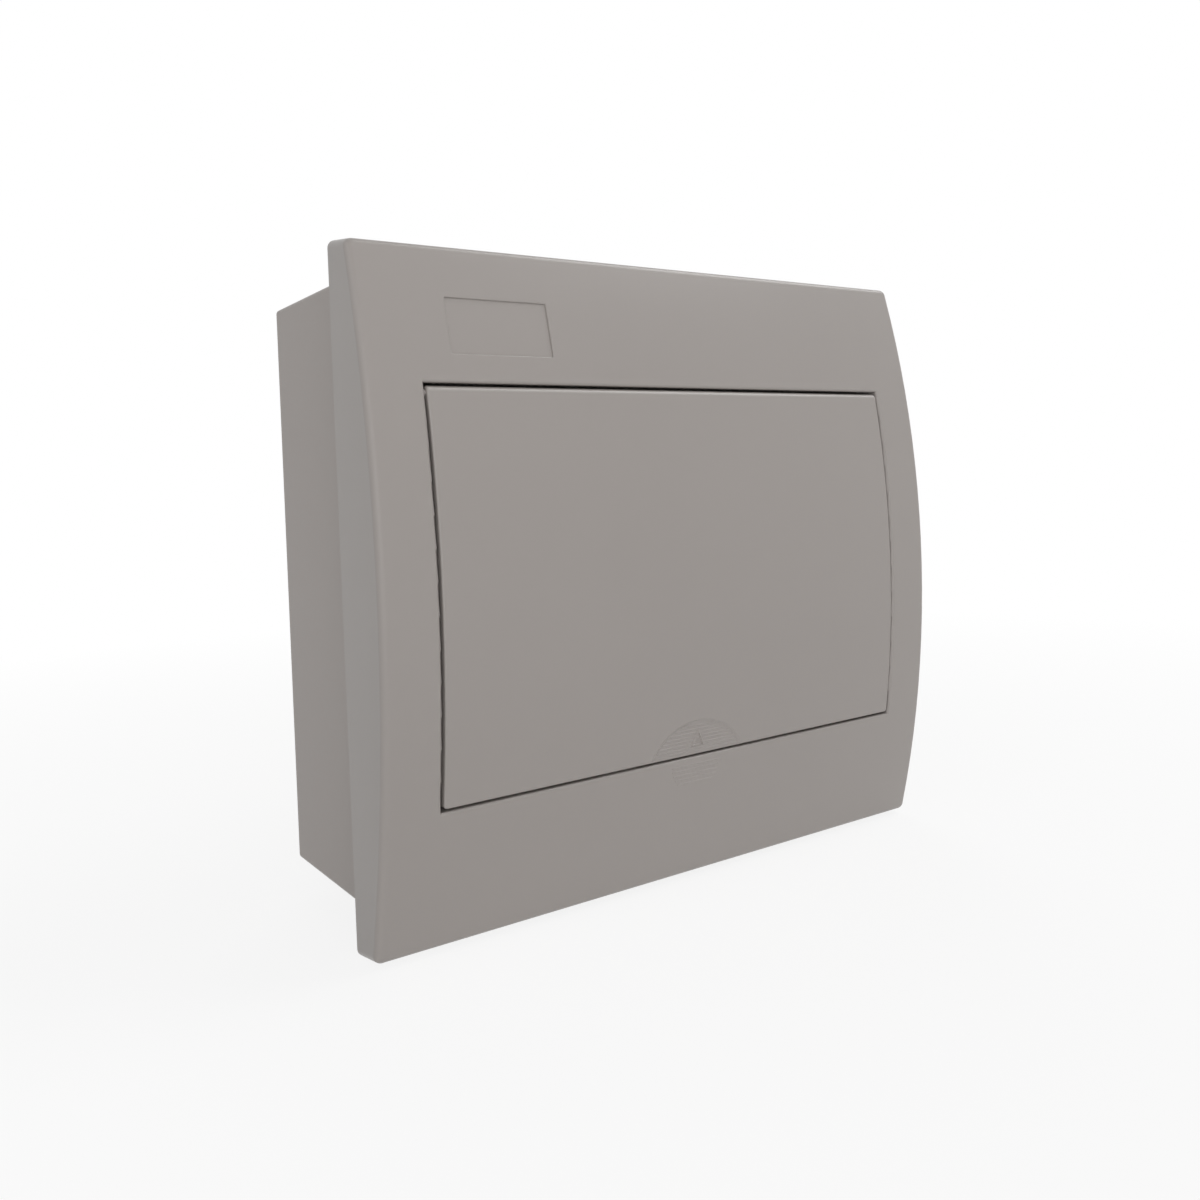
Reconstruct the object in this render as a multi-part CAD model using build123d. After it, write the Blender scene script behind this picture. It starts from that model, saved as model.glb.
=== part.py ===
from build123d import *

import os
from math import sqrt

# Flush-mount distribution board, in millimetres. X is to the right, Z is up and Y points into the wall.
# The origin is the centre of the box's rear face, so the wall's surface lies at WALL_Y and the door faces -Y.

# Modular devices and the window that shows them
WAYS = 8
BLANKED_WAYS = 4
MODULE_W = 18.0
MODULE_NOSE_H = 45.0
MODULE_SHOULDER = 44.0
WINDOW_CLEAR = 0.5

# Front frame
FRAME_STILE = 18.0
FRAME_TOP_RAIL = 40.3
FRAME_BOTTOM_RAIL = 40.9
FRAME_EDGE_DEPTH = 12.5
FRAME_BULGE = 13.3
FRAME_FLARE = 2.0
FRAME_WALL = 2.2
FRAME_CORNER_R = 2.5
FRAME_INNER_R = 0.8
FRAME_EDGE_R = 2.0
OPENING_H = 119.8
OPENING_EDGE_R = 0.8
PANEL_MARGIN = 21.0
PANEL_CLEAR = 1.0
FRAME_RIB_T = 1.6
FRAME_RIB_CLEAR = 0.3
TOP_RIBS = 5
SIDE_RIBS = 3

# Bare nameplate recess, measured from the frame's left and top edges
PLATE_W = 34.5
PLATE_H = 16.4
PLATE_LEFT = 28.0
PLATE_TOP = 15.4
PLATE_DEPTH = 0.6
PLATE_CORNER_R = 0.5
PLATE_EDGE_R = 0.4

# Box in the wall
OVERHANG = 7.0
BOX_DEPTH = 66.0
BOX_LIP = 4.0
BOX_WALL = 2.2
BOX_BACK = 2.5
BOX_CORNER_R = 1.5
BOX_EDGE_R = 0.6

# Wall-fixing holes, measured from the box's outside
FIXING_R = 2.75
FIXING_PAD_R = 6.0
FIXING_PAD_H = 1.5
FIXING_INSET_X = 19.5
FIXING_INSET_Z = 18.5

# Scored knock-outs for cables
KNOCKOUT_R = 11.0
KNOCKOUT_GROOVE = 1.0
KNOCKOUT_WEB = 0.8
KNOCKOUTS = 4
KNOCKOUT_PITCH = 44.0
REAR_KNOCKOUT_Z = 41.0

# Top-hat rail
RAIL_W = 35.0
RAIL_CHANNEL = 27.0
RAIL_H = 7.5
RAIL_T = 1.0
RAIL_BEND_R = 0.7
RAIL_OVERRUN = 7.5
RAIL_SLOT_L = 18.0
RAIL_SLOT_W = 6.2
RAIL_SLOT_PITCH = 25.0
RAIL_SLOTS = 6
RAIL_POST_R = 6.5
RAIL_POST_H = 7.0

# Screws, self-tapping in the moulded posts
SCREW_CLEAR = 0.05
SCREW_CHAMFER = 0.6
DRIVE_W = 0.9
DRIVE_DEPTH = 1.1
CROSS_L = 4.6
RAIL_SCREW_HEAD_R = 4.2
RAIL_SCREW_HEAD_H = 2.6
RAIL_SCREW_R = 1.9
RAIL_SCREW_GRIP = 6.5
COVER_SCREW_HEAD_R = 4.0
COVER_SCREW_HEAD_H = 2.6
COVER_SCREW_R = 1.75
COVER_SCREW_GRIP = 14.0
COVER_SCREW_INSET = 10.0
COVER_HOLE_CLEAR = 0.4
COVER_POST_R = 4.5
GUSSET_T = 2.0
GUSSET_DROP = 12.0

# Terminal bars and their feet
TERMINAL_PITCH = 9.0
BAR_END = 11.0
BAR_D = 9.0
BAR_W = 8.0
BAR_EDGE_R = 0.5
BAR_TO_WALL = 22.8
WIRE_HOLE_R = 2.5
WIRE_HOLE_DEPTH = 5.8
TERMINAL_SCREW_HEAD_R = 2.9
TERMINAL_SCREW_HEAD_H = 2.2
TERMINAL_SCREW_R = 1.8
TERMINAL_SCREW_GRIP = 2.8
FOOT_L = 12.0
FOOT_W = 11.0
FOOT_H = 17.5
FOOT_EDGE_R = 1.0
FOOT_SPIGOT_R = 3.2
FOOT_SPIGOT_H = 6.0
FOOT_CLEAR = 0.1
BAR_SCREW_HEAD_R = 3.4
BAR_SCREW_HEAD_H = 2.4
BAR_SCREW_R = 1.6
BAR_SCREW_GRIP = 6.5

# Blanking plates
BLANK_T = 1.6
BLANK_LAP = 2.0
BLANK_GAP = 0.2
BLANK_FACE_R = 0.5
CLIP_W = 8.0
CLIP_T = 1.2
CLIP_REACH = 3.0
CLIP_BARB = 0.6
CLIP_CLEAR = 0.1

# Door, hinged on pins in the roll along its top edge
DOOR_GAP = 0.8
DOOR_WALL = 2.2
DOOR_SKIRT_T = 1.8
DOOR_SKIRT_DEPTH = 6.0
DOOR_CORNER_R = 1.2
DOOR_EDGE_R = 0.6
ROLL_R = 2.0
PIN_R = 1.0
PIN_L = 2.4
PIN_CLEAR = 0.05
PIN_END_CLEAR = 0.3
SOCKET_WALL = 1.4

# Finger press at the door's lower edge, and the snap below it
PRESS_R = 22.2
PRESS_H = 11.7
PRESS_DEPTH = 0.4
PRESS_WALL_W = 0.7
NIB_L = 12.0
NIB_X = 30.0
NIB_H = 0.45
NIB_INSET = 4.2
CATCH_H = 0.25
CATCH_INSET = 2.8

# Edges that lie this near to a plane or a surface count as lying on it
TOUCH = 0.001

# Overall sizes and planes
WINDOW_W = WAYS * MODULE_W + 2 * WINDOW_CLEAR
WINDOW_H = MODULE_NOSE_H + 2 * WINDOW_CLEAR
OPENING_W = WINDOW_W + 2 * PANEL_MARGIN
FRAME_W = OPENING_W + 2 * FRAME_STILE
FRAME_H = FRAME_TOP_RAIL + OPENING_H + FRAME_BOTTOM_RAIL
OPENING_TOP = FRAME_H / 2 - FRAME_TOP_RAIL
OPENING_BOTTOM = OPENING_TOP - OPENING_H
BOX_W = FRAME_W - 2 * OVERHANG
BOX_H = FRAME_H - 2 * OVERHANG
WALL_Y = -BOX_DEPTH
BOX_FRONT_Y = WALL_Y - BOX_LIP
CROWN_Y = WALL_Y - FRAME_EDGE_DEPTH - FRAME_BULGE
RAIL_SEAT_Y = -BOX_BACK - RAIL_POST_H
RAIL_PLANE_Y = RAIL_SEAT_Y - RAIL_H
PANEL_BACK_Y = RAIL_PLANE_Y - MODULE_SHOULDER - PANEL_CLEAR
PANEL_FRONT_Y = PANEL_BACK_Y - FRAME_WALL
FAR_FRONT_Y = CROWN_Y - FRAME_EDGE_DEPTH

# The front is an arc in side view, with the frame's height as chord and the bulge as its rise
ARC_R = ((FRAME_H / 2) ** 2 + FRAME_BULGE**2) / (2 * FRAME_BULGE)
ARC_CENTRE_Y = CROWN_Y + ARC_R

DOOR_W = OPENING_W - 2 * DOOR_GAP
DOOR_TOP = OPENING_TOP - DOOR_GAP
DOOR_BOTTOM = OPENING_BOTTOM + DOOR_GAP
HINGE_Z = DOOR_TOP - ROLL_R
HINGE_Y = ARC_CENTRE_Y - sqrt((ARC_R - ROLL_R) ** 2 - HINGE_Z**2)

RAIL_L = WINDOW_W + 2 * RAIL_OVERRUN
RAIL_SCREW_XS = [side * (RAIL_SLOTS - 1) / 2 * RAIL_SLOT_PITCH for side in (-1, 1)]
COVER_XS = [side * (OPENING_W / 2 - COVER_SCREW_INSET) for side in (-1, 1)]
COVER_ZS = [OPENING_BOTTOM + COVER_SCREW_INSET, OPENING_TOP - COVER_SCREW_INSET]
COVER_SPOTS = [(x, z) for x in COVER_XS for z in COVER_ZS]
FIXING_X = BOX_W / 2 - FIXING_INSET_X
FIXING_Z = BOX_H / 2 - FIXING_INSET_Z
FIXING_SPOTS = [(x, z) for x in (-FIXING_X, FIXING_X) for z in (-FIXING_Z, FIXING_Z)]
TERMINAL_XS = [(i - (WAYS - 1) / 2) * TERMINAL_PITCH for i in range(WAYS)]
BAR_SCREW_X = TERMINAL_XS[-1] + BAR_END
BAR_L = 2 * (BAR_SCREW_X + FOOT_L / 2)
BAR_BACK_Y = -BOX_BACK - FOOT_H
BAR_FRONT_Y = BAR_BACK_Y - BAR_D
SPIGOT_Y = -BOX_BACK - FOOT_SPIGOT_H
BAR_Z = BOX_H / 2 - BOX_WALL - BAR_TO_WALL


def front_y(z, inset=0.0):
    """Y of the front surface at height z, or of a surface parallel to it and set in by inset."""
    return ARC_CENTRE_Y - sqrt((ARC_R - inset) ** 2 - z**2)


def block(x0, x1, y0, y1, z0, z1):
    """Box between two corners."""
    return Pos((x0 + x1) / 2, (y0 + y1) / 2, (z0 + z1) / 2) * Box(x1 - x0, y1 - y0, z1 - z0)


def rod_x(radius, x0, x1, y, z):
    """Cylinder along X."""
    return Pos((x0 + x1) / 2, y, z) * Rot(0, 90, 0) * Cylinder(radius, x1 - x0)


def rod_y(radius, y0, y1, x, z):
    """Cylinder along Y."""
    return Pos(x, (y0 + y1) / 2, z) * Rot(90, 0, 0) * Cylinder(radius, y1 - y0)


def rod_z(radius, z0, z1, x, y):
    """Cylinder along Z."""
    return Pos(x, y, (z0 + z1) / 2) * Cylinder(radius, z1 - z0)


def crowned(width, z0, z1, y_back, inset=0.0, flare=0.0):
    """Block of a given width, flat behind, whose front follows the curved front set in by inset.

    Its top and bottom may flare out towards the back.
    """
    z_mid = (z0 + z1) / 2
    low = (0, front_y(z0, inset), z0)
    high = (0, front_y(z1, inset), z1)
    arc = ThreePointArc(low, (0, front_y(z_mid, inset), z_mid), high)
    sides = Polyline(high, (0, y_back, z1 + flare), (0, y_back, z0 - flare), low)
    return extrude(make_face([arc, sides]), width / 2, dir=(1, 0, 0), both=True)


def corners(shape):
    """The straight edges at the sides of a crowned block that run from its front to its back."""
    return shape.edges().filter_by(GeomType.LINE).filter_by(lambda e: abs((e @ 0).Y - (e @ 1).Y) > TOUCH)


def front_cut(tool, depth):
    """The share of a tool that lies in front of a surface parallel to the front, depth behind it."""
    return tool - crowned(FRAME_W, -FRAME_H / 2, FRAME_H / 2, 0, depth)


def screw(x, y_seat, z, head_r, head_h, shank_r, shank_l, drive):
    """Screw with a plain round head on y_seat, a drive cut into the head's front and its shank along +Y."""
    head = rod_y(head_r, y_seat - head_h, y_seat, x, z) - Pos(x, y_seat - head_h, z) * drive
    return head + rod_y(shank_r, y_seat, y_seat + shank_l, x, z)


def bevelled(fastener):
    """The same screw with the front rim of its head bevelled."""
    rim = fastener.edges().filter_by(GeomType.CIRCLE).sort_by(Axis.Y)[0]
    return chamfer(rim, SCREW_CHAMFER)


def straight_drive(length):
    """Cutter for a straight slot along X, centred on a screw's face."""
    return Box(length, 2 * DRIVE_DEPTH, DRIVE_W)


def cross_drive():
    """Cutter for a cross recess, centred on a screw's face."""
    slot = straight_drive(CROSS_L)
    return slot + Rot(0, 90, 0) * slot


def knockout_groove(ring_at):
    """Ring-shaped score, made from a function that gives a cylinder of any radius at its place."""
    return ring_at(KNOCKOUT_R + KNOCKOUT_GROOVE / 2) - ring_at(KNOCKOUT_R - KNOCKOUT_GROOVE / 2)


def back_box():
    """Moulded box with posts for the rail, the cover and the terminal feet, fixing holes and knock-outs."""
    body = block(-BOX_W / 2, BOX_W / 2, BOX_FRONT_Y, 0, -BOX_H / 2, BOX_H / 2)
    body = fillet(body.edges().filter_by(Axis.Y), BOX_CORNER_R)
    body = fillet(body.faces().sort_by(Axis.Y)[-1].edges(), BOX_EDGE_R)
    inner_w = BOX_W / 2 - BOX_WALL
    inner_h = BOX_H / 2 - BOX_WALL
    body -= block(-inner_w, inner_w, BOX_FRONT_Y, -BOX_BACK, -inner_h, inner_h)
    for x, z in COVER_SPOTS:
        wall = inner_w if x > 0 else -inner_w
        x0, x1 = sorted((x, wall))
        gusset = block(x0, x1, PANEL_BACK_Y + GUSSET_DROP, -BOX_BACK, z - GUSSET_T / 2, z + GUSSET_T / 2)
        body += gusset + rod_y(COVER_POST_R, PANEL_BACK_Y, -BOX_BACK, x, z)
        body -= rod_y(COVER_SCREW_R + SCREW_CLEAR, PANEL_BACK_Y, PANEL_BACK_Y + COVER_SCREW_GRIP, x, z)
    for x in RAIL_SCREW_XS:
        body += rod_y(RAIL_POST_R, RAIL_SEAT_Y, -BOX_BACK, x, 0)
        body -= rod_y(RAIL_SCREW_R + SCREW_CLEAR, RAIL_SEAT_Y, RAIL_SEAT_Y + RAIL_SCREW_GRIP, x, 0)
    for x in (-BAR_SCREW_X, BAR_SCREW_X):
        for z in (-BAR_Z, BAR_Z):
            body += rod_y(FOOT_SPIGOT_R, SPIGOT_Y, -BOX_BACK, x, z)
            body -= rod_y(BAR_SCREW_R + SCREW_CLEAR, SPIGOT_Y, SPIGOT_Y + BAR_SCREW_GRIP, x, z)
    for x, z in FIXING_SPOTS:
        body += rod_y(FIXING_PAD_R, -BOX_BACK - FIXING_PAD_H, -BOX_BACK, x, z)
        body -= rod_y(FIXING_R, -BOX_BACK - FIXING_PAD_H, 0, x, z)
    groove_y = (WALL_Y - BOX_BACK) / 2
    for i in range(KNOCKOUTS):
        x = (i - (KNOCKOUTS - 1) / 2) * KNOCKOUT_PITCH
        body -= knockout_groove(lambda r: rod_z(r, inner_h + KNOCKOUT_WEB, BOX_H / 2, x, groove_y))
        body -= knockout_groove(lambda r: rod_z(r, -BOX_H / 2, -inner_h - KNOCKOUT_WEB, x, groove_y))
    for z in (-REAR_KNOCKOUT_Z, REAR_KNOCKOUT_Z):
        body -= knockout_groove(lambda r: rod_y(r, -BOX_BACK + KNOCKOUT_WEB, 0, 0, z))
    return body


def frame_ribs():
    """Ribs across the bezel, from recess to skirt and beyond, that end just off the box's front edge."""
    foot_y = BOX_FRONT_Y - FRAME_RIB_CLEAR
    skirt_x = FRAME_W / 2 - FRAME_WALL
    skirt_z = FRAME_H / 2 + FRAME_FLARE
    ribs = []
    for i in range(TOP_RIBS):
        x = (i - (TOP_RIBS - 1) / 2) * OPENING_W / TOP_RIBS
        for z0, z1 in ((OPENING_TOP + FRAME_WALL, skirt_z), (-skirt_z, OPENING_BOTTOM - FRAME_WALL)):
            ribs.append(block(x - FRAME_RIB_T / 2, x + FRAME_RIB_T / 2, FAR_FRONT_Y, foot_y, z0, z1))
    for i in range(SIDE_RIBS):
        z = (OPENING_TOP + OPENING_BOTTOM) / 2 + (i - (SIDE_RIBS - 1) / 2) * OPENING_H / SIDE_RIBS
        for x0, x1 in ((OPENING_W / 2 + FRAME_WALL, skirt_x), (-skirt_x, -OPENING_W / 2 - FRAME_WALL)):
            ribs.append(block(x0, x1, FAR_FRONT_Y, foot_y, z - FRAME_RIB_T / 2, z + FRAME_RIB_T / 2))
    return ribs


def plate_rim(shell, plate):
    """Edges where the nameplate recess meets the curved front."""
    span = plate.bounding_box()
    return shell.edges().filter_by(
        lambda e: span.min.X - TOUCH < e.center().X < span.max.X + TOUCH
        and span.min.Z - TOUCH < e.center().Z < span.max.Z + TOUCH
        and abs((e @ 0).Y - front_y((e @ 0).Z)) < TOUCH
        and abs((e @ 1).Y - front_y((e @ 1).Z)) < TOUCH
    )


def front_frame():
    """Convex bezel, door recess and inner panel, moulded as one piece."""
    half_h = FRAME_H / 2
    outside = crowned(FRAME_W, -half_h, half_h, WALL_Y, flare=FRAME_FLARE)
    outside = fillet(corners(outside), FRAME_CORNER_R)
    outside = fillet(outside.faces().sort_by(Axis.Y)[0].edges(), FRAME_EDGE_R)
    inner_h = half_h - FRAME_WALL
    hollow = crowned(FRAME_W - 2 * FRAME_WALL, -inner_h, inner_h, WALL_Y, FRAME_WALL, FRAME_FLARE)
    hollow = fillet(corners(hollow), FRAME_INNER_R)
    core_h = half_h - FRAME_WALL / 2
    core = crowned(FRAME_W, -core_h, core_h, WALL_Y, FRAME_WALL / 2, FRAME_FLARE)

    shell = outside - hollow
    recess_z = (OPENING_BOTTOM - FRAME_WALL, OPENING_TOP + FRAME_WALL)
    shell += crowned(OPENING_W + 2 * FRAME_WALL, *recess_z, PANEL_BACK_Y, FRAME_WALL / 2)
    for rib in frame_ribs():
        shell += rib & core
    socket_end = OPENING_W / 2 + PIN_L - DOOR_GAP + PIN_END_CLEAR
    for side in (-1, 1):
        x0, x1 = sorted((side * OPENING_W / 2, side * (socket_end + SOCKET_WALL)))
        shell += rod_x(PIN_R + PIN_CLEAR + SOCKET_WALL, x0, x1, HINGE_Y, HINGE_Z) & core

    shell -= block(-OPENING_W / 2, OPENING_W / 2, FAR_FRONT_Y, PANEL_FRONT_Y, OPENING_BOTTOM, OPENING_TOP)
    rim = shell.edges().filter_by(
        lambda e: e.center().Y < PANEL_FRONT_Y - FRAME_WALL
        and abs(e.center().Y - front_y(e.center().Z)) < FRAME_WALL / 2
        and (
            abs(abs(e.center().X) - OPENING_W / 2) < TOUCH
            or min(abs(e.center().Z - OPENING_TOP), abs(e.center().Z - OPENING_BOTTOM)) < TOUCH
        )
    )
    shell = fillet(rim, OPENING_EDGE_R)
    for side in (-1, 1):
        x0, x1 = sorted((side * OPENING_W / 2, side * socket_end))
        shell -= rod_x(PIN_R + PIN_CLEAR, x0, x1, HINGE_Y, HINGE_Z)
        catch_y = front_y(OPENING_BOTTOM, CATCH_INSET)
        catch = rod_x(CATCH_H, side * NIB_X - NIB_L / 2, side * NIB_X + NIB_L / 2, catch_y, OPENING_BOTTOM)
        shell += catch
    shell -= block(-WINDOW_W / 2, WINDOW_W / 2, PANEL_FRONT_Y, PANEL_BACK_Y, -WINDOW_H / 2, WINDOW_H / 2)
    for x, z in COVER_SPOTS:
        shell -= rod_y(COVER_SCREW_R + COVER_HOLE_CLEAR, PANEL_FRONT_Y, PANEL_BACK_Y, x, z)
    plate_x = -FRAME_W / 2 + PLATE_LEFT
    plate_z = half_h - PLATE_TOP
    plate = block(plate_x, plate_x + PLATE_W, FAR_FRONT_Y, WALL_Y, plate_z - PLATE_H, plate_z)
    shell -= front_cut(fillet(plate.edges().filter_by(Axis.Y), PLATE_CORNER_R), PLATE_DEPTH)
    return fillet(plate_rim(shell, plate), PLATE_EDGE_R)


def press_cutter():
    """Cone set square to the front at the middle of the finger press, with the press's wall as its flank."""
    z_mid = DOOR_BOTTOM + PRESS_H / 2
    y_mid = front_y(z_mid)
    seat = Plane(origin=(0, y_mid, z_mid), x_dir=(1, 0, 0), z_dir=(0, y_mid - ARC_CENTRE_Y, z_mid))
    cone = Cone(PRESS_R - 2 * PRESS_WALL_W, PRESS_R + 2 * PRESS_WALL_W, 4 * PRESS_DEPTH)
    return seat * Pos(0, PRESS_H / 2 - PRESS_R, 0) * cone


def door():
    """Curved door with a roll and two hinge pins along its top, skirts, a finger press and two snap nibs."""
    reach = ARC_R / (ARC_R - ROLL_R)
    roll_front = (ARC_CENTRE_Y + (HINGE_Y - ARC_CENTRE_Y) * reach, HINGE_Z * reach)
    roll_back = (2 * HINGE_Y - roll_front[0], 2 * HINGE_Z - roll_front[1])
    shoulder_z = HINGE_Z - ROLL_R
    low_z, mid_z = DOOR_BOTTOM, (DOOR_BOTTOM + shoulder_z) / 2
    back = [(0, front_y(z, DOOR_SKIRT_DEPTH), z) for z in (shoulder_z, mid_z, low_z)]
    front_low = (0, front_y(low_z), low_z)
    outline = [
        ThreePointArc(front_low, (0, front_y(mid_z), mid_z), (0, *roll_front)),
        ThreePointArc((0, *roll_front), (0, HINGE_Y, DOOR_TOP), (0, *roll_back)),
        Line((0, *roll_back), back[0]),
        ThreePointArc(*back),
        Line(back[-1], front_low),
    ]
    body = extrude(make_face(outline), DOOR_W / 2, dir=(1, 0, 0), both=True)
    body = fillet(body.edges().filter_by(Axis.Y).group_by(Axis.Z)[0], DOOR_CORNER_R)
    rim = body.edges().filter_by(
        lambda e: abs(e.center().Y - front_y(e.center().Z)) < DOOR_EDGE_R
        and e.center().Z < HINGE_Z
        and e.length > DOOR_CORNER_R
    )
    body = fillet(rim, DOOR_EDGE_R)
    body -= crowned(DOOR_W - 2 * DOOR_SKIRT_T, DOOR_BOTTOM + DOOR_SKIRT_T, shoulder_z, 0, DOOR_WALL)
    body += rod_x(PIN_R, -DOOR_W / 2 - PIN_L, DOOR_W / 2 + PIN_L, HINGE_Y, HINGE_Z)
    body -= front_cut(press_cutter(), PRESS_DEPTH)
    nib_y = front_y(DOOR_BOTTOM, NIB_INSET)
    for x in (-NIB_X, NIB_X):
        body += rod_x(NIB_H, x - NIB_L / 2, x + NIB_L / 2, nib_y, DOOR_BOTTOM)
    return body


def din_rail():
    """Top-hat rail with a row of fixing slots in its web."""
    half_w = RAIL_W / 2
    half_c = RAIL_CHANNEL / 2
    lip_y = RAIL_PLANE_Y + RAIL_T
    web_y = RAIL_SEAT_Y - RAIL_T
    upper = [
        (RAIL_PLANE_Y, half_c - RAIL_T),
        (RAIL_PLANE_Y, half_w),
        (lip_y, half_w),
        (lip_y, half_c),
        (RAIL_SEAT_Y, half_c),
    ]
    lower = [(y, -z) for y, z in reversed(upper)]
    inside = [(web_y, -half_c + RAIL_T), (web_y, half_c - RAIL_T)]
    outline = [(0, y, z) for y, z in upper + lower + inside]
    rail = extrude(make_face(Polyline(*outline, close=True)), RAIL_L / 2, dir=(1, 0, 0), both=True)
    bends = rail.edges().filter_by(Axis.X).filter_by(lambda e: abs(e.center().Z) < half_w - RAIL_T)
    rail = fillet(bends, RAIL_BEND_R)
    for i in range(RAIL_SLOTS):
        x = (i - (RAIL_SLOTS - 1) / 2) * RAIL_SLOT_PITCH
        slot = extrude(Plane.XZ * SlotOverall(RAIL_SLOT_L, RAIL_SLOT_W), RAIL_H, both=True)
        rail -= Pos(x, RAIL_SEAT_Y, 0) * slot
    return rail


def terminal_bar(z):
    """Brass bar with a wire hole and a clamping hole for each way, and a screw hole at each end."""
    front = BAR_FRONT_Y
    bar = block(-BAR_L / 2, BAR_L / 2, front, BAR_BACK_Y, z - BAR_W / 2, z + BAR_W / 2)
    bar = fillet(bar.edges().filter_by(Axis.X), BAR_EDGE_R)
    for x in TERMINAL_XS:
        bar -= rod_z(WIRE_HOLE_R, z - BAR_W / 2, z + BAR_W / 2, x, front + WIRE_HOLE_DEPTH)
        bar -= rod_y(TERMINAL_SCREW_R + SCREW_CLEAR, front, front + WIRE_HOLE_DEPTH, x, z)
    for x in (-BAR_SCREW_X, BAR_SCREW_X):
        bar -= rod_y(BAR_SCREW_R + SCREW_CLEAR, front, BAR_BACK_Y, x, z)
    return bar


def terminal_foot(x, z):
    """Insulating foot that stands on a spigot of the box and carries one end of a terminal bar."""
    foot = block(x - FOOT_L / 2, x + FOOT_L / 2, BAR_BACK_Y, -BOX_BACK, z - FOOT_W / 2, z + FOOT_W / 2)
    foot = fillet(foot.edges().filter_by(Axis.Y), FOOT_EDGE_R)
    foot -= rod_y(FOOT_SPIGOT_R + FOOT_CLEAR, SPIGOT_Y - FOOT_CLEAR, -BOX_BACK, x, z)
    return foot - rod_y(BAR_SCREW_R + SCREW_CLEAR, BAR_BACK_Y, -BOX_BACK, x, z)


def blanking_plate(way):
    """Single-way plate that laps the window's upper and lower edge and clips behind the panel."""
    x = -WAYS * MODULE_W / 2 + (way + 0.5) * MODULE_W
    half_w = (MODULE_W - BLANK_GAP) / 2
    half_h = WINDOW_H / 2
    face_y = PANEL_FRONT_Y - BLANK_T
    plate = block(x - half_w, x + half_w, face_y, PANEL_FRONT_Y, -half_h - BLANK_LAP, half_h + BLANK_LAP)
    plate = fillet(plate.faces().sort_by(Axis.Y)[0].edges(), BLANK_FACE_R)
    barb_y = PANEL_BACK_Y + CLIP_CLEAR
    for side in (-1, 1):
        z0, z1 = sorted((side * (half_h - CLIP_CLEAR), side * (half_h - CLIP_CLEAR - CLIP_T)))
        plate += block(x - CLIP_W / 2, x + CLIP_W / 2, PANEL_FRONT_Y, PANEL_BACK_Y + CLIP_REACH, z0, z1)
        base = side * (half_h - CLIP_CLEAR)
        tip = base + side * (CLIP_BARB + CLIP_CLEAR)
        barb = Polyline((0, barb_y, base), (0, barb_y, tip), (0, PANEL_BACK_Y + CLIP_REACH, base), close=True)
        plate += Pos(x, 0, 0) * extrude(make_face(barb), CLIP_W / 2, dir=(1, 0, 0), both=True)
    return plate


def rail_screw(x):
    """Screw that holds the rail's web to a post."""
    seat = RAIL_SEAT_Y - RAIL_T
    length = RAIL_T + RAIL_SCREW_GRIP
    size = (RAIL_SCREW_HEAD_R, RAIL_SCREW_HEAD_H, RAIL_SCREW_R, length)
    return bevelled(screw(x, seat, 0, *size, cross_drive()))


def cover_screw(x, z):
    """Screw that holds the frame's inner panel to a post."""
    length = FRAME_WALL + COVER_SCREW_GRIP
    size = (COVER_SCREW_HEAD_R, COVER_SCREW_HEAD_H, COVER_SCREW_R, length)
    return bevelled(screw(x, PANEL_FRONT_Y, z, *size, cross_drive()))


def terminal_screw(x, z):
    """Screw that clamps one wire in a terminal bar."""
    size = (TERMINAL_SCREW_HEAD_R, TERMINAL_SCREW_HEAD_H, TERMINAL_SCREW_R, TERMINAL_SCREW_GRIP)
    return screw(x, BAR_FRONT_Y, z, *size, straight_drive(2 * TERMINAL_SCREW_HEAD_R))


def bar_screw(x, z):
    """Long screw through a terminal bar and its foot into the box."""
    length = SPIGOT_Y + BAR_SCREW_GRIP - BAR_FRONT_Y
    size = (BAR_SCREW_HEAD_R, BAR_SCREW_HEAD_H, BAR_SCREW_R, length)
    return bevelled(screw(x, BAR_FRONT_Y, z, *size, cross_drive()))


def build():
    """All pieces by name."""
    pieces = {"back_box": back_box(), "front_frame": front_frame(), "door": door(), "din_rail": din_rail()}
    pieces["rail_screws"] = Compound(children=[rail_screw(x) for x in RAIL_SCREW_XS])
    pieces["cover_screws"] = Compound(children=[cover_screw(x, z) for x, z in COVER_SPOTS])
    for name, z in (("neutral", BAR_Z), ("earth", -BAR_Z)):
        ends = {"left": -BAR_SCREW_X, "right": BAR_SCREW_X}
        pieces[f"{name}_bar"] = terminal_bar(z)
        for end, x in ends.items():
            pieces[f"{name}_foot_{end}"] = terminal_foot(x, z)
        pieces[f"{name}_terminal_screws"] = Compound(children=[terminal_screw(x, z) for x in TERMINAL_XS])
        pieces[f"{name}_bar_screws"] = Compound(children=[bar_screw(x, z) for x in ends.values()])
    for way in range(WAYS - BLANKED_WAYS, WAYS):
        pieces[f"blanking_plate_{way + 1}"] = blanking_plate(way)
    return pieces


os.makedirs("parts", exist_ok=True)
for node, shape in build().items():
    export_step(shape, f"parts/{node}.step")
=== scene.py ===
"""Looks of a flush-mount distribution board: plastics, metals, finger press, studio and camera."""
import logging
import math
from dataclasses import dataclass, field
from enum import Enum
from typing import Any, ClassVar

import bpy
from mathutils import Matrix, Vector


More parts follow.
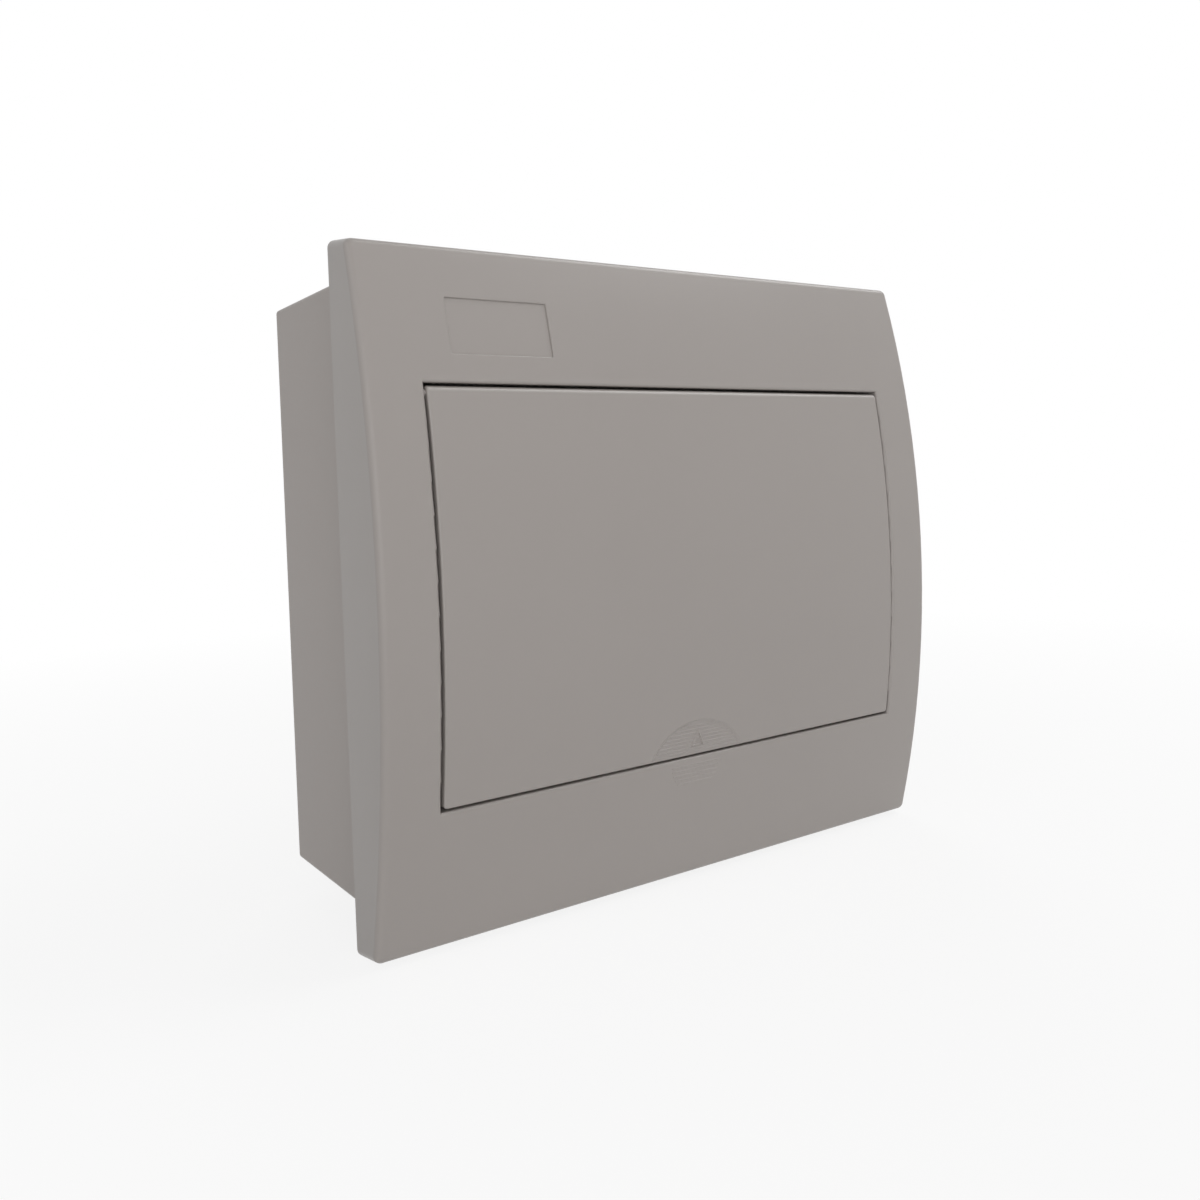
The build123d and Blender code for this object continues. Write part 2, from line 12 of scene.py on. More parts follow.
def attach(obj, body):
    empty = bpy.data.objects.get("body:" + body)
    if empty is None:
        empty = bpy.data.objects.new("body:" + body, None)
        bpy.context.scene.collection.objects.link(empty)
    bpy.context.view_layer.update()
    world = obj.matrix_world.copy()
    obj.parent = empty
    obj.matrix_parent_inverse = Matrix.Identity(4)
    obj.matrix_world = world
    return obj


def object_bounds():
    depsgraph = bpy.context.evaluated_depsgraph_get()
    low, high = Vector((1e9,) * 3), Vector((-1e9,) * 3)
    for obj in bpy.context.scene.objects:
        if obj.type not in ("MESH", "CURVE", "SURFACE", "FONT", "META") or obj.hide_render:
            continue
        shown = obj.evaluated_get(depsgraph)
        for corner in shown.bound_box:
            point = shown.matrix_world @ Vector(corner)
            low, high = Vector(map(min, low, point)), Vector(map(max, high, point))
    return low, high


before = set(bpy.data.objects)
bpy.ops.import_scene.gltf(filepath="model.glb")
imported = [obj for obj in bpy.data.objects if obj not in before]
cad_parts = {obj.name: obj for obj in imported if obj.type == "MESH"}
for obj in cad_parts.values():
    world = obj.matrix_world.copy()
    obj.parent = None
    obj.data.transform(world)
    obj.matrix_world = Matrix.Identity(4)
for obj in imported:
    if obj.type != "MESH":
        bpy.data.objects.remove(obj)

CAD_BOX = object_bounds()
LOG = logging.getLogger("board")

WHITE = (1.0, 1.0, 1.0, 1.0)
# The Mix node has an A, a B and a Result for each kind of data: these are the places of the colour ones
MIX_COLOUR_A, MIX_COLOUR_B, MIX_COLOUR_RESULT = 6, 7, 2


class Body(Enum):
    """The two rigid bodies of the board."""

    ENCLOSURE = "enclosure"
    DOOR = "door"


class Slot(Enum):
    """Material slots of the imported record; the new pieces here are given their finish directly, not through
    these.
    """

    FRONT = "front_abs"


class Finish(Enum):
    """Surfaces of the board, each with a material of its own."""

    FRONT = "front and door"
    BOX = "wall box"
    RAIL = "rail"
    SCREW = "screws"
    BRASS = "terminal bars"
    BLUE = "neutral feet"
    GREEN = "earth feet"


def mm(value: float) -> float:
    """Millimetres to metres."""
    return value / 1000.0


def linear(code: str) -> tuple[float, float, float, float]:
    """Linear RGBA of an sRGB hex colour.

    Args:
        code: Six hex digits, red first.

    Returns:
        Red, green, blue and an alpha of 1.
    """
    channels = [int(code[i : i + 2], 16) / 255.0 for i in (0, 2, 4)]
    red, green, blue = [c / 12.92 if c <= 0.04045 else ((c + 0.055) / 1.055) ** 2.4 for c in channels]
    return red, green, blue, 1.0


def round_loop(count: int) -> list[tuple[int, int]]:
    """Each index of a closed loop, with the index after it."""
    return [(n, (n + 1) % count) for n in range(count)]


def add_node(
    tree: bpy.types.NodeTree, kind: str, links: dict[str | int, Any] | None = None, **settings: Any
) -> bpy.types.Node:
    """Adds one node with its settings and links.

    Args:
        tree: Node tree of a material, world or geometry group.
        kind: Blender's node type name.
        links: Input name or index to an output socket, or to a constant for that input.
        settings: Attributes of the node.

    Returns:
        The new node.
    """
    node = tree.nodes.new(kind)
    for name, value in settings.items():
        setattr(node, name, value)
    for name, value in (links or {}).items():
        socket = node.inputs[name]
        if isinstance(value, bpy.types.NodeSocket):
            tree.links.new(value, socket)
        else:
            socket.default_value = value
    return node


def empty_tree(owner: bpy.types.Material | bpy.types.World) -> bpy.types.NodeTree:
    """Turns on the nodes of a material or world and clears them.

    Args:
        owner: New material or world.

    Returns:
        Its empty node tree.
    """
    owner.use_nodes = True
    owner.node_tree.nodes.clear()
    return owner.node_tree


def new_material(name: str) -> tuple[bpy.types.Material, bpy.types.NodeTree, bpy.types.Node]:
    """Material that holds a Principled shader and nothing else.

    Args:
        name: The material's name.

    Returns:
        The material, its tree and its shader, linked to the output.
    """
    material = bpy.data.materials.new(name)
    tree = empty_tree(material)
    shader = add_node(tree, "ShaderNodeBsdfPrincipled")
    add_node(tree, "ShaderNodeOutputMaterial", {"Surface": shader.outputs["BSDF"]})
    return material, tree, shader


def paint(
    tree: bpy.types.NodeTree, shader: bpy.types.Node, share: bpy.types.NodeSocket, tones: tuple[str, str]
) -> None:
    """Gives a shader a colour that drifts between two tones.

    Args:
        tree: Tree of the material.
        shader: Its Principled shader.
        share: Socket that is 0 at the first tone and 1 at the second.
        tones: The two tones, as sRGB hex colours.
    """
    first, second = (linear(tone) for tone in tones)
    mix = add_node(
        tree,
        "ShaderNodeMix",
        {"Factor": share, MIX_COLOUR_A: first, MIX_COLOUR_B: second},
        data_type="RGBA",
    )
    tree.links.new(mix.outputs[MIX_COLOUR_RESULT], shader.inputs["Base Color"])


def roughen(
    tree: bpy.types.NodeTree,
    shader: bpy.types.Node,
    relief: bpy.types.NodeSocket,
    depth_mm: float,
    roughness: tuple[float, float],
) -> None:
    """Gives a shader a fine relief, and a roughness that follows it.

    Args:
        tree: Tree of the material.
        shader: Its Principled shader.
        relief: Socket with the height of the relief, from 0 to 1.
        depth_mm: Depth of the relief in millimetres.
        roughness: Middle value, and how far it goes either way.
    """
    bump = add_node(tree, "ShaderNodeBump", {"Height": relief, "Strength": 1.0, "Distance": mm(depth_mm)})
    tree.links.new(bump.outputs["Normal"], shader.inputs["Normal"])
    middle, spread = roughness
    gloss = add_node(
        tree, "ShaderNodeMapRange", {"Value": relief, "To Min": middle - spread, "To Max": middle + spread}
    )
    tree.links.new(gloss.outputs["Result"], shader.inputs["Roughness"])


@dataclass(frozen=True)
class MouldedPlastic:
    """Injection-moulded plastic with a spark-eroded mould texture.

    The eye sees an even satin skin: a fine grain breaks up the highlights, and the tone drifts by a hair over
    the part where the melt flowed.
    """

    name: str
    tones: tuple[str, str]
    roughness: float
    roughness_spread: float = 0.05
    ior: float = 1.53
    grain_mm: float = 0.7
    grain_depth_mm: float = 0.012
    grain_detail: float = 3.0
    grain_roughness: float = 0.6
    drift_mm: float = 70.0
    drift_detail: float = 2.0
    drift_roughness: float = 0.4

    def build(self) -> bpy.types.Material:
        """Makes the node material.

        Returns:
            The material.
        """
        material, tree, shader = new_material(self.name)
        place = add_node(tree, "ShaderNodeTexCoord").outputs["Object"]
        drift = add_node(
            tree,
            "ShaderNodeTexNoise",
            {
                "Vector": place,
                "Scale": 1 / mm(self.drift_mm),
                "Detail": self.drift_detail,
                "Roughness": self.drift_roughness,
            },
        )
        paint(tree, shader, drift.outputs["Fac"], self.tones)
        # The real grain is about 0.05 mm, finer than a pixel: it is drawn as coarse as it needs to show
        grain = add_node(
            tree,
            "ShaderNodeTexNoise",
            {
                "Vector": place,
                "Scale": 1 / mm(self.grain_mm),
                "Detail": self.grain_detail,
                "Roughness": self.grain_roughness,
            },
        )
        roughen(
            tree, shader, grain.outputs["Fac"], self.grain_depth_mm, (self.roughness, self.roughness_spread)
        )
        shader.inputs["IOR"].default_value = self.ior
        return material


@dataclass(frozen=True)
class WorkedMetal:
    """Metal that was rolled or drawn along X, or barrel plated, and left bright.

    The eye sees fine lines along the length, which stretch the highlights, and faint clouds of tarnish.
    A line_stretch of 1 gives the even speckle of plated screws instead of lines.
    """

    name: str
    tones: tuple[str, str]
    roughness: float
    roughness_spread: float = 0.08
    line_mm: float = 0.5
    line_stretch: float = 0.02
    line_depth_mm: float = 0.006
    line_detail: float = 2.0
    cloud_mm: float = 14.0
    cloud_detail: float = 4.0
    cloud_range: tuple[float, float] = (0.4, 0.7)

    def build(self) -> bpy.types.Material:
        """Makes the node material.

        Returns:
            The material.
        """
        material, tree, shader = new_material(self.name)
        place = add_node(tree, "ShaderNodeTexCoord").outputs["Object"]
        cloud = add_node(
            tree,
            "ShaderNodeTexNoise",
            {"Vector": place, "Scale": 1 / mm(self.cloud_mm), "Detail": self.cloud_detail},
        )
        clear, tarnished = self.cloud_range
        tarnish = add_node(
            tree,
            "ShaderNodeMapRange",
            {"Value": cloud.outputs["Fac"], "From Min": clear, "From Max": tarnished},
        )
        paint(tree, shader, tarnish.outputs["Result"], self.tones)
        # Real rolling lines are finer than a pixel: these are drawn as coarse as they need to show
        along = add_node(tree, "ShaderNodeMapping", {"Vector": place, "Scale": (self.line_stretch, 1.0, 1.0)})
        lines = add_node(
            tree,
            "ShaderNodeTexNoise",
            {"Vector": along.outputs["Vector"], "Scale": 1 / mm(self.line_mm), "Detail": self.line_detail},
        )
        roughen(
            tree, shader, lines.outputs["Fac"], self.line_depth_mm, (self.roughness, self.roughness_spread)
        )
        shader.inputs["Metallic"].default_value = 1.0
        return material


FINISHES: dict[Finish, MouldedPlastic | WorkedMetal] = {
    # ABS from a finely eroded mould: warm grey, with a soft sheen along the rounded edges
    Finish.FRONT: MouldedPlastic("abs_moulded_fine_grey", ("99938f", "9c9692"), 0.32),
    # The same ABS from a plainer mould: a little redder and duller
    Finish.BOX: MouldedPlastic("abs_moulded_plain_grey", ("9a928d", "9d9590"), 0.4),
    # Rolled steel strip under zinc: cool and bright, with lines along the rail
    Finish.RAIL: WorkedMetal("steel_strip_rolled_zinc_plated", ("c9cac6", "b4b6b2"), 0.34),
    # Screws that were plated in a barrel: an even bright speckle with small dull clouds
    Finish.SCREW: WorkedMetal(
        "steel_screws_barrel_zinc_plated",
        ("c6c8c8", "b2b2ab"),
        0.36,
        line_mm=0.4,
        line_stretch=1.0,
        cloud_mm=5.0,
    ),
    # Brass drawn through a die: warm yellow with draw lines, browner where it tarnished
    Finish.BRASS: WorkedMetal("brass_drawn_bar", ("d2ac5c", "b98f45"), 0.3),
    # Nylon dyed in the melt: strong, even colours with a waxy sheen
    Finish.BLUE: MouldedPlastic("nylon_moulded_blue", ("1f5fae", "2465b4"), 0.42),
    Finish.GREEN: MouldedPlastic("nylon_moulded_green", ("2e8b45", "33914a"), 0.42),
}

Materials = dict[Finish, bpy.types.Material]


def bake(source: bpy.types.Object) -> bpy.types.Mesh:
    """Plain mesh of an object with its modifiers applied.

    Args:
        source: Object with modifiers.

    Returns:
        A new mesh that needs no modifier.
    """
    graph = bpy.context.evaluated_depsgraph_get()
    graph.update()
    return bpy.data.meshes.new_from_object(source.evaluated_get(graph), depsgraph=graph)


def add_piece(name: str, mesh: bpy.types.Mesh, body: Body) -> bpy.types.Object:
    """Adds a finished mesh to the board.

    Args:
        name: Name of the piece.
        mesh: Its mesh, in the board's own frame.
        body: Body that carries it.

    Returns:
        The new object, riding on its body.
    """
    mesh.name = name
    piece = bpy.data.objects.new(name, mesh)
    bpy.context.scene.collection.objects.link(piece)
    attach(piece, body.value)
    LOG.info("%s: %d faces on %s", name, len(mesh.polygons), body.value)
    return piece


def dress(node: str, material: bpy.types.Material) -> None:
    """Gives a CAD piece, which keeps its own mesh, its finish.

    Args:
        node: Name of the piece.
        material: Finish for all its faces.
    """
    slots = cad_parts[node].data.materials
    slots.clear()
    slots.append(material)
    LOG.info("%s: %s", node, material.name)


@dataclass
class FrontCurve:
    """The convex front in side view: an arc whose chord is the frame's height. Sizes in millimetres."""

    height: float = 201.0
    bulge: float = 13.3
    crown_y: float = -91.8

    @property
    def radius(self) -> float:
        """Radius of the arc."""
        return ((self.height / 2) ** 2 + self.bulge**2) / (2 * self.bulge)

    @property
    def centre_y(self) -> float:
        """Y of the arc's centre, which lies at half height."""
        return self.crown_y + self.radius

    def y(self, z: float, inset: float) -> float:
        """Y of a surface parallel to the front.

        Args:
            z: Height.
            inset: How far the surface lies behind the front.

        Returns:
            The surface's Y at that height.
        """
        return self.centre_y - math.sqrt((self.radius - inset) ** 2 - z**2)


@dataclass
class RibField:
    """Fine grip ribs that fill a segment of a circle on the curved front. Sizes in millimetres.

    Positive pitch builds the ribs upwards from first_z, negative pitch builds them downwards.
    """

    SIZE_INPUTS: ClassVar[tuple[str, ...]] = (
        "First Z",
        "Pitch",
        "Circle Z",
        "Circle Radius",
        "Margin",
        "Arc Radius",
        "Arc Centre",
        "Rib Radius",
    )

    name: str
    body: Body
    first_z: float
    pitch: float
    count: int
    circle_z: float
    circle_r: float
    inset: float
    rise: float
    radius: float = 0.3
    sides: int = 10
    end_margin: float = 0.5
    curve: FrontCurve = field(default_factory=FrontCurve)

    @staticmethod
    def third_side(
        group: bpy.types.NodeTree, long_side: bpy.types.NodeSocket, other_leg: bpy.types.NodeSocket
    ) -> bpy.types.NodeSocket:
        """Third side of a right triangle, worked out by nodes.

        Args:
            group: Tree to add the nodes to.
            long_side: Socket with the longest side.
            other_leg: Socket with the known leg.

        Returns:
            Socket with the leg that was missing.
        """
        squares = [
            add_node(group, "ShaderNodeMath", {0: side, 1: 2.0}, operation="POWER").outputs["Value"]
            for side in (long_side, other_leg)
        ]
        rest = add_node(group, "ShaderNodeMath", dict(enumerate(squares)), operation="SUBTRACT")
        root = add_node(group, "ShaderNodeMath", {0: rest.outputs["Value"]}, operation="SQRT")
        return root.outputs["Value"]

    def tree(self, material: bpy.types.Material) -> bpy.types.NodeTree:
        """Geometry Nodes tree that lays the ribs along X and bends their places to the front.

        Args:
            material: Finish of the ribs.

        Returns:
            The node group, with one named input for each size.
        """
        group = bpy.data.node_groups.new(f"{self.name}_tree", "GeometryNodeTree")
        group.interface.new_socket("Geometry", in_out="OUTPUT", socket_type="NodeSocketGeometry")
        group.interface.new_socket("Count", in_out="INPUT", socket_type="NodeSocketInt")
        for name in self.SIZE_INPUTS:
            group.interface.new_socket(name, in_out="INPUT", socket_type="NodeSocketFloat")
        size = add_node(group, "NodeGroupInput").outputs
        start = add_node(group, "ShaderNodeCombineXYZ", {"Z": size["First Z"]})
        step = add_node(group, "ShaderNodeCombineXYZ", {"Z": size["Pitch"]})
        row = add_node(
            group,
            "GeometryNodeMeshLine",
            {
                "Count": size["Count"],
                "Start Location": start.outputs["Vector"],
                "Offset": step.outputs["Vector"],
            },
            mode="OFFSET",
        )
        spot = add_node(group, "GeometryNodeInputPosition").outputs["Position"]
        height = add_node(group, "ShaderNodeSeparateXYZ", {"Vector": spot}).outputs["Z"]
        to_front = self.third_side(group, size["Arc Radius"], height)
        depth = add_node(group, "ShaderNodeMath", {0: size["Arc Centre"], 1: to_front}, operation="SUBTRACT")
        offset = add_node(group, "ShaderNodeCombineXYZ", {"Y": depth.outputs["Value"]})
        placed = add_node(
            group,
            "GeometryNodeSetPosition",
            {"Geometry": row.outputs["Mesh"], "Offset": offset.outputs["Vector"]},
        )
        above = add_node(group, "ShaderNodeMath", {0: height, 1: size["Circle Z"]}, operation="SUBTRACT")
        half_chord = self.third_side(group, size["Circle Radius"], above.outputs["Value"])
        reach = add_node(group, "ShaderNodeMath", {0: half_chord, 1: size["Margin"]}, operation="SUBTRACT")
        scale = add_node(group, "ShaderNodeCombineXYZ", {"X": reach.outputs["Value"], "Y": 1.0, "Z": 1.0})
        # A line that reaches 1 either way, so that its scale along X is the reach of the rib
        line = add_node(
            group,
            "GeometryNodeCurvePrimitiveLine",
            {"Start": (-1.0, 0.0, 0.0), "End": (1.0, 0.0, 0.0)},
        )
        ribs = add_node(
            group,
            "GeometryNodeInstanceOnPoints",
            {
                "Points": placed.outputs["Geometry"],
                "Instance": line.outputs["Curve"],
                "Scale": scale.outputs["Vector"],
            },
        )
        lines = add_node(group, "GeometryNodeRealizeInstances", {"Geometry": ribs.outputs["Instances"]})
        section = add_node(
            group,
            "GeometryNodeCurvePrimitiveCircle",
            {"Resolution": self.sides, "Radius": size["Rib Radius"]},
        )
        solid = add_node(
            group,
            "GeometryNodeCurveToMesh",
            {
                "Curve": lines.outputs["Geometry"],
                "Profile Curve": section.outputs["Curve"],
                "Fill Caps": True,
            },
        )
        real = add_node(group, "GeometryNodeRealizeInstances", {"Geometry": solid.outputs["Mesh"]})
        dressed = add_node(
            group, "GeometryNodeSetMaterial", {"Geometry": real.outputs["Geometry"], "Material": material}
        )
        add_node(group, "NodeGroupOutput", {"Geometry": dressed.outputs["Geometry"]})
        return group

    def sizes(self) -> dict[str, float | int]:
        """Sizes for the tree.

        Returns:
            The value of each named input, in metres.
        """
        return {
            "Count": self.count,
            "First Z": mm(self.first_z),
            "Pitch": mm(self.pitch),
            "Circle Z": mm(self.circle_z),
            "Circle Radius": mm(self.circle_r),
            "Margin": mm(self.end_margin),
            "Arc Radius": mm(self.curve.radius - self.inset - self.radius + self.rise),
            "Arc Centre": mm(self.curve.centre_y),
            "Rib Radius": mm(self.radius),
        }

    def build(self, material: bpy.types.Material) -> bpy.types.Object:
        """Makes the ribs as a plain mesh that rides on its body.

        Args:
            material: Finish of the ribs.

        Returns:
            The finished piece.
        """
        carrier_name = f"{self.name}_carrier"
        carrier = bpy.data.objects.new(carrier_name, bpy.data.meshes.new(carrier_name))
        bpy.context.scene.collection.objects.link(carrier)
        modifier = carrier.modifiers.new("ribs", "NODES")
        group = self.tree(material)
        modifier.node_group = group
        values = self.sizes()
        for item in group.interface.items_tree:
            if item.item_type == "SOCKET" and item.in_out == "INPUT":
                modifier[item.identifier] = values[item.name]
        mesh = bake(carrier)
        bpy.data.objects.remove(carrier)
        return add_piece(self.name, mesh, self.body)


@dataclass
class LiftMark:
    """Raised outline of a triangle that points the way the door lifts. Sizes in millimetres."""

    base_z: float = -56.2
    apex_z: float = -50.2
    half_width: float = 2.9
    line_w: float = 0.9
    rise: float = 0.55
    sink: float = 0.3
    curve: FrontCurve = field(default_factory=FrontCurve)

    def outline(self, inward: float) -> list[tuple[float, float]]:
        """Corners of the triangle, moved in.

        Args:
            inward: Distance from the outer outline.

        Returns:
            X and Z of the three corners, anticlockwise from the lower left.
        """
        height = self.apex_z - self.base_z
        inner_r = self.half_width * height / (self.half_width + math.hypot(self.half_width, height))
        middle_z = self.base_z + inner_r
        share = 1.0 - inward / inner_r
        corners = [(-self.half_width, self.base_z), (self.half_width, self.base_z), (0.0, self.apex_z)]
        return [(x * share, middle_z + (z - middle_z) * share) for x, z in corners]

    def build(self, inset: float, material: bpy.types.Material) -> bpy.types.Object:
        """Makes the outline as a closed ridge, its foot sunk below the press.

        Args:
            inset: Depth of the press behind the front.
            material: Finish of the front.

        Returns:
            The piece, riding on the door.
        """
        outer, crest, inner = (self.outline(inward) for inward in (0.0, self.line_w / 2, self.line_w))
        root = inset + self.sink
        rings = [(outer, root), (outer, inset), (crest, inset - self.rise), (inner, inset), (inner, root)]
        points = [(mm(x), mm(self.curve.y(z, depth)), mm(z)) for ring, depth in rings for x, z in ring]
        sides = len(outer)
        faces = [
            (sides * low + i, sides * low + j, sides * high + j, sides * high + i)
            for low, high in round_loop(len(rings))
            for i, j in round_loop(sides)
        ]
        mesh = bpy.data.meshes.new("lift_mark")
        mesh.from_pydata(points, [], faces)
        mesh.materials.append(material)
        return add_piece("lift_mark", mesh, Body.DOOR)


@dataclass
class Door:
    """Flush door with a ribbed finger press and a lift mark at its lower edge. Sizes in millimetres."""

    bottom: float = -58.8
    press_r: float = 22.2
    press_h: float = 11.7
    press_depth: float = 0.4
    press_wall_w: float = 0.7
    rib_pitch: float = 1.2
    rib_count: int = 8
    rib_rise: float = 0.18
    mark: LiftMark = field(default_factory=LiftMark)

    def build(self, materials: Materials) -> None:
        """Dresses the door and makes the ribs and the lift mark of the press.

        Args:
            materials: One material for each finish.
        """
        front = materials[Finish.FRONT]
        dress("door", front)
        ribs = RibField(
            "press_ribs",
            Body.DOOR,
            first_z=self.bottom + self.rib_pitch,
            pitch=self.rib_pitch,
            count=self.rib_count,
            circle_z=self.bottom + self.press_h - self.press_r,
            circle_r=self.press_r - self.press_wall_w,
            inset=self.press_depth,
            rise=self.rib_rise,
        )
        ribs.build(front)
        self.mark.build(self.press_depth, front)


@dataclass
class FrontFrame:
    """Convex frame with its blanking plates, cover screws and a faint grip below the door.

    Sizes in millimetres.
    """

    first_blank: int = 5
    ways: int = 8
    opening_bottom: float = -59.6
    grip_drop: float = 1.0
    grip_r: float = 11.0
    grip_pitch: float = 1.5
    grip_count: int = 5
    grip_rise: float = 0.12

    def build(self, materials: Materials) -> None:
        """Dresses the frame and what it carries, and makes the grip.

        Args:
            materials: One material for each finish.
        """
        front = materials[Finish.FRONT]
        dress("front_frame", front)
        for way in range(self.first_blank, self.ways + 1):
            dress(f"blanking_plate_{way}", front)
        dress("cover_screws", materials[Finish.SCREW])
        grip_top = self.opening_bottom - self.grip_drop
        grip = RibField(
            "grip_ribs",
            Body.ENCLOSURE,
            first_z=grip_top - self.grip_pitch,
            pitch=-self.grip_pitch,
            count=self.grip_count,
            circle_z=grip_top,
            circle_r=self.grip_r,
            inset=0.0,
            rise=self.grip_rise,
        )
        grip.build(front)


@dataclass
class WallBox:
    """Box in the wall, with the rail on its posts."""

    def build(self, materials: Materials) -> None:
        """Dresses the box, the rail and the rail's screws.

        Args:
            materials: One material for each finish.
        """
        dress("back_box", materials[Finish.BOX])
        dress("din_rail", materials[Finish.RAIL])
        dress("rail_screws", materials[Finish.SCREW])


@dataclass
class TerminalRow:
    """Brass bar on two insulating feet, with its clamping screws and the screws that hold it."""

    title: str
    foot_finish: Finish

    def build(self, materials: Materials) -> None:
        """Dresses the bar, its feet and its screws.

        Args:
            materials: One material for each finish.
        """
        dress(f"{self.title}_bar", materials[Finish.BRASS])
        for end in ("left", "right"):
            dress(f"{self.title}_foot_{end}", materials[self.foot_finish])
        for use in ("terminal", "bar"):
            dress(f"{self.title}_{use}_screws", materials[Finish.SCREW])


@dataclass(frozen=True)
class Lamp:
    """Square soft lamp: its place and side in metres, its power in watts, and whether gloss shows it."""

    name: str
    place: tuple[float, float, float]
    size: float
    power: float
    mirrored: bool = True

    def build(self, aim: Vector) -> None:
        """Adds the lamp to the scene.

        Args:
            aim: The point that the lamp faces.
        """
        data = bpy.data.lights.new(self.name, "AREA")
        data.shape = "SQUARE"
        data.size = self.size
        data.energy = self.power
        lamp = bpy.data.objects.new(self.name, data)
        lamp.location = self.place
        lamp.visible_glossy = self.mirrored
        lamp.rotation_euler = (aim - Vector(self.place)).to_track_quat("-Z", "Y").to_euler()
        bpy.context.scene.collection.objects.link(lamp)


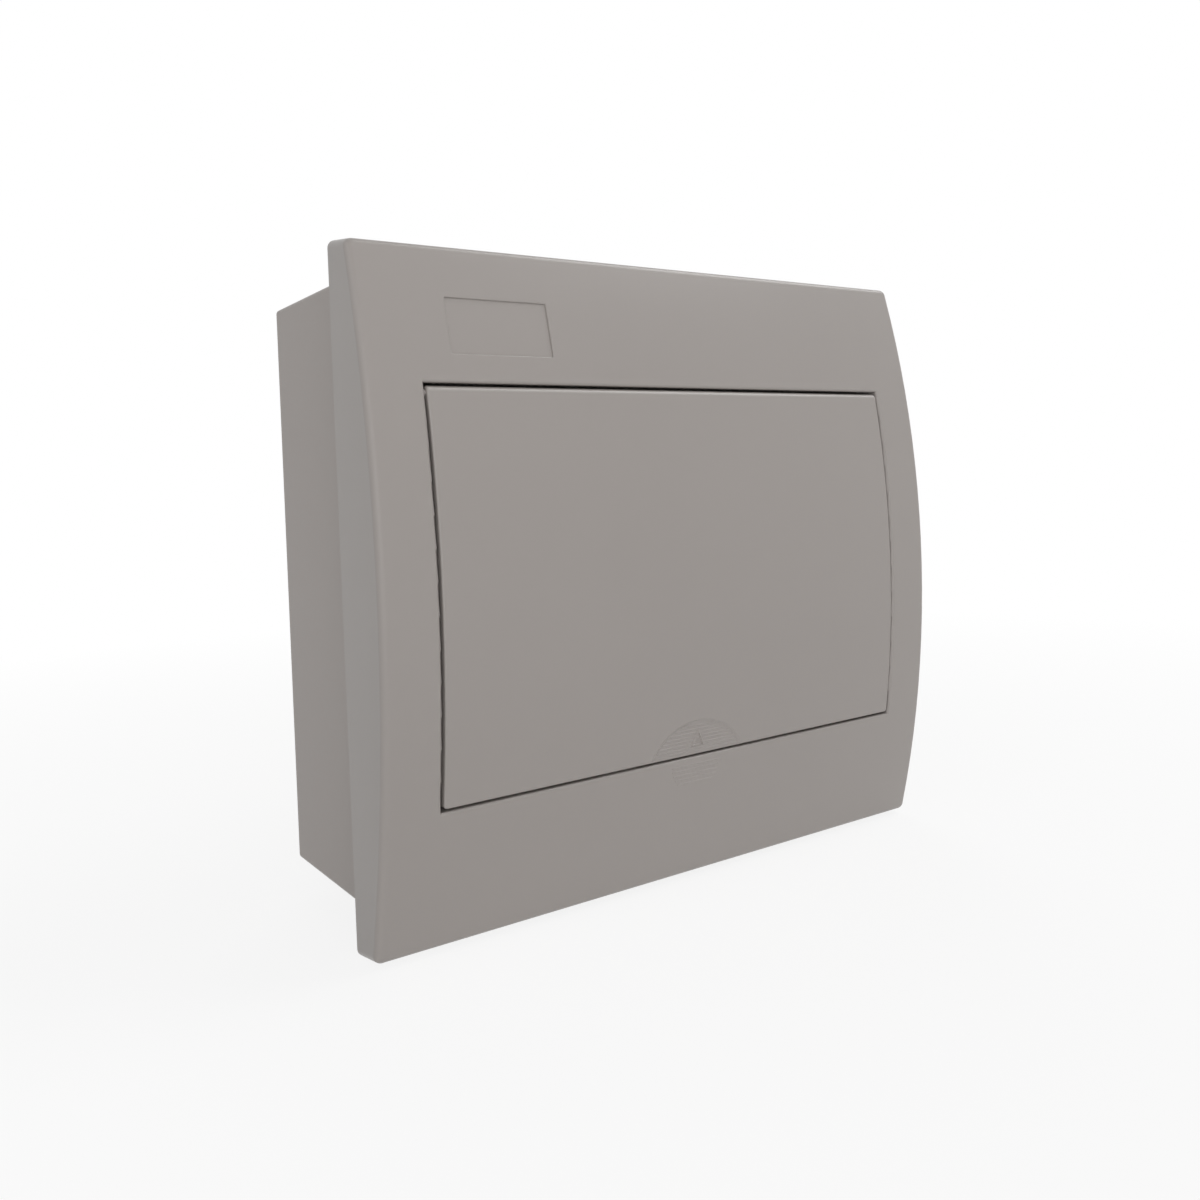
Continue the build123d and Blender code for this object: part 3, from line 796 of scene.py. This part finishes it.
@dataclass
class Studio:
    """White floor and surround, soft lamps and the camera at the photograph's place.

    The floor, its shadow and the lamps are in metres. Up to shadow_near from the origin the camera sees the
    floor washed out by near_wash, and from shadow_far it sees plain white.
    """

    floor_z: float
    floor_size: float = 6.0
    floor_tone: str = "f2f2f2"
    shadow_near: float = 0.12
    shadow_far: float = 0.7
    near_wash: float = 0.85
    ambient: float = 0.2
    # Mirrored in the gloss, the two strong lamps would draw white lines along the rounded edges and far side
    lamps: tuple[Lamp, ...] = (
        Lamp("top_lamp", (1.3, -0.55, 1.65), 1.1, 14.0),
        Lamp("key_lamp", (-0.8, -1.8, 0.0), 1.8, 37.0, mirrored=False),
        Lamp("side_lamp", (-1.0, -0.32, 0.77), 0.5, 1.0),
        Lamp("back_lamp", (0.9, 1.7, 0.35), 1.4, 25.0, mirrored=False),
    )
    aim_mm: tuple[float, float, float] = (0.0, -60.0, 0.0)
    camera_mm: tuple[float, float, float] = (-225.45, -349.77, 30.03)
    pan: float = 0.57045
    tilt: float = 0.01352
    roll: float = -0.04
    focal_px: float = 1056.05
    axis_px: tuple[float, float] = (539.88, 501.03)
    image_px: float = 1200.0
    sensor_mm: float = 36.0
    clip_start_mm: float = 10.0

    def build(self) -> None:
        """Adds the floor, the world, the lamps and the camera."""
        self.floor()
        self.world()
        for lamp in self.lamps:
            lamp.build(Vector([mm(v) for v in self.aim_mm]))
        self.camera()
        bpy.context.scene.view_settings.view_transform = "Standard"

    def floor(self) -> None:
        """Pale floor that keeps the board's shadow and is white to the camera further out."""
        half = self.floor_size / 2
        mesh = bpy.data.meshes.new("floor")
        corners = [(-half, -half), (half, -half), (half, half), (-half, half)]
        mesh.from_pydata([(x, y, self.floor_z) for x, y in corners], [], [(0, 1, 2, 3)])
        floor = bpy.data.objects.new("floor", mesh)
        bpy.context.scene.collection.objects.link(floor)
        material = bpy.data.materials.new("floor_white_card")
        tree = empty_tree(material)
        card = add_node(tree, "ShaderNodeBsdfDiffuse", {"Color": linear(self.floor_tone)})
        white = add_node(tree, "ShaderNodeEmission", {"Color": WHITE, "Strength": 1.0})
        place = add_node(tree, "ShaderNodeTexCoord").outputs["Object"]
        reach = add_node(tree, "ShaderNodeVectorMath", {0: place}, operation="LENGTH").outputs["Value"]
        wash = add_node(
            tree,
            "ShaderNodeMapRange",
            {
                "Value": reach,
                "From Min": self.shadow_near,
                "From Max": self.shadow_far,
                "To Min": self.near_wash,
                "To Max": 1.0,
            },
        )
        seen = self.seen_directly(tree)
        share = add_node(tree, "ShaderNodeMath", {0: wash.outputs["Result"], 1: seen}, operation="MULTIPLY")
        mix = add_node(
            tree,
            "ShaderNodeMixShader",
            {"Fac": share.outputs["Value"], 1: card.outputs["BSDF"], 2: white.outputs["Emission"]},
        )
        add_node(tree, "ShaderNodeOutputMaterial", {"Surface": mix.outputs["Shader"]})
        mesh.materials.append(material)

    @staticmethod
    def seen_directly(tree: bpy.types.NodeTree) -> bpy.types.NodeSocket:
        """Socket that is 1 for camera, glossy and transmission rays.

        Args:
            tree: Tree to add the nodes to.

        Returns:
            The output socket.
        """
        path = add_node(tree, "ShaderNodeLightPath").outputs
        seen = path["Is Camera Ray"]
        for ray in ("Is Glossy Ray", "Is Transmission Ray"):
            either = add_node(tree, "ShaderNodeMath", {0: seen, 1: path[ray]}, operation="MAXIMUM")
            seen = either.outputs["Value"]
        return seen

    def world(self) -> None:
        """Even grey-white light, seen as white by the camera."""
        world = bpy.data.worlds.new("studio")
        bpy.context.scene.world = world
        tree = empty_tree(world)
        seen = self.seen_directly(tree)
        level = add_node(tree, "ShaderNodeMapRange", {"Value": seen, "To Min": self.ambient, "To Max": 1.0})
        sky = add_node(tree, "ShaderNodeBackground", {"Color": WHITE, "Strength": level.outputs["Result"]})
        add_node(tree, "ShaderNodeOutputWorld", {"Surface": sky.outputs["Background"]})

    def camera(self) -> None:
        """Camera fitted to the photograph's outlines."""
        data = bpy.data.cameras.new("camera")
        data.sensor_width = self.sensor_mm
        data.lens = self.sensor_mm * self.focal_px / self.image_px
        data.shift_x = (self.image_px / 2 - self.axis_px[0]) / self.image_px
        data.shift_y = (self.axis_px[1] - self.image_px / 2) / self.image_px
        data.clip_start = mm(self.clip_start_mm)
        camera = bpy.data.objects.new("camera", data)
        turn = (
            Matrix.Rotation(-self.pan, 4, "Z")
            @ Matrix.Rotation(math.pi / 2 - self.tilt, 4, "X")
            @ Matrix.Rotation(self.roll, 4, "Z")
        )
        camera.matrix_world = Matrix.Translation([mm(v) for v in self.camera_mm]) @ turn
        bpy.context.scene.collection.objects.link(camera)
        bpy.context.scene.camera = camera


def main() -> None:
    """Builds the finishes, dresses every sub-assembly and sets the studio."""
    logging.basicConfig(level=logging.INFO, format="%(name)s: %(message)s")
    materials = {use: finish.build() for use, finish in FINISHES.items()}
    sub_assemblies = (
        WallBox(),
        TerminalRow("neutral", Finish.BLUE),
        TerminalRow("earth", Finish.GREEN),
        FrontFrame(),
        Door(),
    )
    for sub_assembly in sub_assemblies:
        sub_assembly.build(materials)
    low, _ = CAD_BOX
    Studio(floor_z=low[2]).build()


if __name__ == "__main__":
    main()
